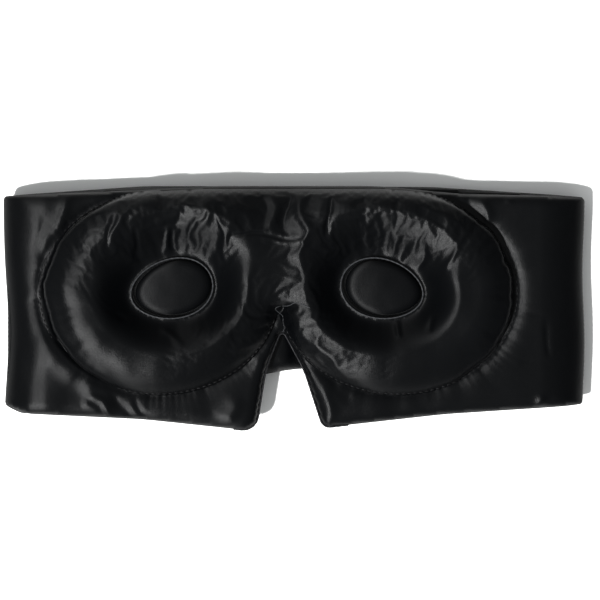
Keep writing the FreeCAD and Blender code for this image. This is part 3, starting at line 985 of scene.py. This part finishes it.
def make_notch_binding():
    """The narrow bound edge round the nose notch."""
    low, high = box_mm("nose_notch_binding")
    near = (OUTLINE[:, 1] < -5) & (OUTLINE[:, 0] > low[0]) & (OUTLINE[:, 0] < high[0])
    line = OUTLINE[near]
    level = (low[2] + high[2]) / 2
    return tube("nose_notch_edge", np.column_stack([line, np.full(len(line), level)]), 0.38,
                DARK_CORD, sides=10, closed=False, twist=2.4)


def make_nose_tuck(cover):
    """A thin rolled edge along the nose tuck, laid on the settled satin. It is drawn grey as a painted
    highlight of the light along the lip.
    """
    settled = np.array([vertex.co[:] for vertex in cover.data.vertices]) / MM
    line = []
    for place in nose_tuck_line():
        nearest = np.argsort(np.hypot(*(settled[:, :2] - place).T))[:4]
        line.append((*place, settled[nearest, 2].mean()))
    return tube("nose_tuck_edge", np.array(line), 0.17, PAINTED_HIGHLIGHT_CORD, sides=8, closed=False)


# ---------------------------------------------------------------- hook and loop tapes


def tape_field(node, direction):
    """A tape's lowest and highest corner, and the level of the side it is sewn down by."""
    low, high = box_mm(node)
    base = low[2] if direction > 0 else high[2]
    return low, high, base


def make_hook_tape():
    """The hook tape's ground, and its rows of bent hooks that lean both ways."""
    low, high, base = tape_field("hook_tape", 1)
    ground = tape_ground("hook_tape_ground", low, high, base, 1, 0.45, HOOK_NYLON)
    points, faces = [], []
    pitch, inset, width = 1.35, 4.2, 0.16
    rows = np.arange(low[1] + inset, high[1] - inset, pitch)
    columns = np.arange(low[0] + inset, high[0] - inset, pitch)
    bends = [(0.0, 0.0), (0.0, 0.25), (0.08, 0.40), (0.26, 0.44), (0.36, 0.32)]
    for r, y in enumerate(rows):
        for x in columns + (r % 2) * pitch / 2:
            lean = 1 if r % 2 else -1
            first = len(points)
            for along, up in bends:
                for dx, dy in ((-width, -width), (width, -width), (width, width), (-width, width)):
                    points.append((x + dx, y + lean * along + dy * 0.7, base + 0.42 + up))
            for i in range(len(bends) - 1):
                for k in range(4):
                    a, b = first + i * 4 + k, first + i * 4 + (k + 1) % 4
                    faces.append((a, b, b + 4, a + 4))
            last = first + (len(bends) - 1) * 4
            faces.append((last, last + 1, last + 2, last + 3))
    hooks = make_object("hook_tape_hooks", points, faces, HOOK_NYLON)
    return ground, hooks


def tape_ground(name, low, high, base, direction, thick, material):
    """A tape with round corners, a slightly domed face and a thin edge."""
    outline = rounded([
        (low[0], low[1], 3.0), (high[0], low[1], 3.0), (high[0], high[1], 3.0), (low[0], high[1], 3.0),
    ], 0.8)
    flat, triangles = fill(outline, hexagonal(low[:2], high[:2], 0.9), 0.9)
    away, along = nearest_on(outline, flat)
    raised = base + direction * thick * (0.55 + 0.45 * dome(away, 1.2))
    if name.startswith("loop"):
        nap = ripples(flat[:, 0], flat[:, 1], 2.2, 41) + 0.7 * ripples(flat[:, 0], flat[:, 1], 6, 42)
        raised += direction * 0.10 * nap * smooth((away - 2.5) / 1.5)
        raised += direction * 0.25 * smooth((away - 2.5) / 1.0)
    top = np.column_stack([flat, raised])
    bottom = np.column_stack([flat, np.full(len(flat), base - direction * 0.05)])
    count = len(flat)
    edge = [i for i in range(count) if away[i] < 1e-3]
    order = sorted(edge, key=lambda i: along[i])
    faces = [tuple(t) for t in triangles] + [tuple(t[::-1] + count) for t in triangles]
    for a, b in zip(order, order[1:] + order[:1]):
        faces.append((a, a + count, b + count, b))
    if direction < 0:
        faces = [tuple(reversed(f)) for f in faces]
    return make_object(name, np.vstack([top, bottom]), faces, material)


def make_loop_tape():
    """The loop tape, facing down, with its brushed nap."""
    low, high, base = tape_field("loop_tape", -1)
    return tape_ground("loop_tape_nap", low, high, base, -1, 0.45, LOOP_NYLON)


def make_tape_stitching(name, node, direction):
    """A row of stitches round a tape's border."""
    low, high, base = tape_field(node, direction)
    inset, corner, pitch = 1.5, 3.0, 2.6
    places, headings = [], []
    level = base + direction * 0.45
    for y in (low[1] + inset, high[1] - inset):
        for x in np.arange(low[0] + corner, high[0] - corner, pitch):
            places.append(np.array((x, y, level)))
            headings.append(np.array((1.0, 0, 0)))
    for x in (low[0] + inset, high[0] - inset):
        for y in np.arange(low[1] + corner, high[1] - corner, pitch):
            places.append(np.array((x, y, level)))
            headings.append(np.array((0, 1.0, 0)))
    return stitches(name, places, headings, 1.9, 0.2, THREAD)


HOOK_NYLON = tape_material("hook_nylon", (0.006, 0.006, 0.007), (0.018, 0.018, 0.020), (0.35, 0.5), 0)
LOOP_NYLON = tape_material("loop_nylon", (0.008, 0.008, 0.009), (0.030, 0.030, 0.033), (0.75, 0.95), 1)

# ---------------------------------------------------------------- assembly


def attach(piece, body, slot, *nodes):
    """Fixes a piece to a CAD body and hides the CAD nodes that it stands for. The slot is not used."""
    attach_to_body(piece, body)
    if nodes:
        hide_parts(*nodes)


strap = make_strap()
front, left_band, tab, right_band = (strap[name + "_cushion"] for name in (
    "front_panel", "left_band", "closure_tab", "right_band"))
attach(front, "front_panel", "satin", "outer_cover", "blackout_liner", "front_padding", "face_lining")
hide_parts("left_band_lining", "left_band_outer", "left_band_padding")
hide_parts("closure_tab_lining", "closure_tab_outer", "closure_tab_padding")
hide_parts("right_band_lining", "right_band_outer", "right_band_padding")
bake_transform(left_band)
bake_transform(right_band)
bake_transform(tab)

pad_cover = make_pad_cover()
attach(pad_cover, "front_panel", "satin", "face_pad_cover", "face_pad_foam")

attach(make_pad_topstitch(), "front_panel", "thread", "pad_topstitch")

for side, name in SIDES:
    disc = make_disc(side, name)
    attach(disc, "front_panel", "satin", "eye_disc_cover_" + name, "eye_disc_core_" + name)
    attach(make_piping(side, name), "front_panel", "thread", "eye_piping_" + name)

attach(make_notch_binding(), "front_panel", "satin", "nose_notch_binding")
attach(make_nose_tuck(pad_cover), "front_panel", "satin")

hook_ground, hooks = make_hook_tape()
attach(hook_ground, "closure_tab", "hook_tape", "hook_tape")
attach(hooks, "closure_tab", "hook_tape")
hook_thread = make_tape_stitching("hook_tape_thread", "hook_tape", 1)
attach(hook_thread, "closure_tab", "thread", "hook_tape_stitching")
attach(make_loop_tape(), "right_band", "loop_tape", "loop_tape")
loop_thread = make_tape_stitching("loop_tape_thread", "loop_tape", -1)
attach(loop_thread, "right_band", "thread", "loop_tape_stitching")

# ---------------------------------------------------------------- stage, light and camera


def make_floor():
    """A plain pale tabletop."""
    mesh = bpy.data.meshes.new("floor")
    reach = 3.0
    mesh.from_pydata([(-reach, -reach, 0), (reach, -reach, 0), (reach, reach, 0), (-reach, reach, 0)],
                     [], [(0, 1, 2, 3)])
    material, _, _, shader = new_material("pale_floor")
    shader.inputs["Base Color"].default_value = (0.90, 0.90, 0.89, 1)
    shader.inputs["Roughness"].default_value = 0.9
    shader.inputs["Specular IOR Level"].default_value = 0.1
    mesh.materials.append(material)
    floor = bpy.data.objects.new("floor", mesh)
    bpy.context.scene.collection.objects.link(floor)


def make_light():
    """A low key light from the lower left, and a room that is brightest overhead and dark at the horizon."""
    key = bpy.data.lights.new("key", "SUN")
    key.energy = 6.4
    key.angle = math.radians(3.5)
    lamp = bpy.data.objects.new("key", key)
    towards_light = Vector((-0.73, -0.68, 1.50))
    lamp.rotation_mode = "QUATERNION"
    lamp.rotation_quaternion = towards_light.to_track_quat("Z", "Y")
    bpy.context.scene.collection.objects.link(lamp)
    world = bpy.data.worlds.new("soft_room")
    bpy.context.scene.world = world
    world.use_nodes = True
    nodes, links = world.node_tree.nodes, world.node_tree.links
    direction = nodes.new("ShaderNodeTexCoord").outputs["Generated"]
    towards_window = nodes.new("ShaderNodeVectorMath")
    towards_window.operation = "DOT_PRODUCT"
    towards_window.inputs[1].default_value = (-0.22, -0.20, 0.95)
    links.new(direction, towards_window.inputs[0])
    strength = nodes.new("ShaderNodeMapRange")
    strength.inputs["From Min"].default_value = 0.1
    strength.inputs["To Min"].default_value = 0.04
    strength.inputs["To Max"].default_value = 1.0
    links.new(towards_window.outputs["Value"], strength.inputs["Value"])
    nodes["Background"].inputs["Color"].default_value = (0.97, 0.99, 1.0, 1)
    links.new(strength.outputs["Result"], nodes["Background"].inputs["Strength"])


def make_camera():
    """Straight down on the folded mask, from far enough for little perspective."""
    camera = bpy.data.cameras.new("camera")
    camera.lens = 200
    camera.sensor_width = 36
    frame_width = 0.2400
    distance = frame_width * camera.lens / camera.sensor_width
    eye = bpy.data.objects.new("camera", camera)
    eye.location = (0.0026, 0.0032, PANEL_LOW * MM + distance)
    bpy.context.scene.collection.objects.link(eye)
    bpy.context.scene.camera = eye


make_floor()
make_light()
make_camera()
# a gamma below 1 deepens the black satin's shadows
bpy.context.scene.view_settings.view_transform = "Standard"
bpy.context.scene.view_settings.gamma = 0.85
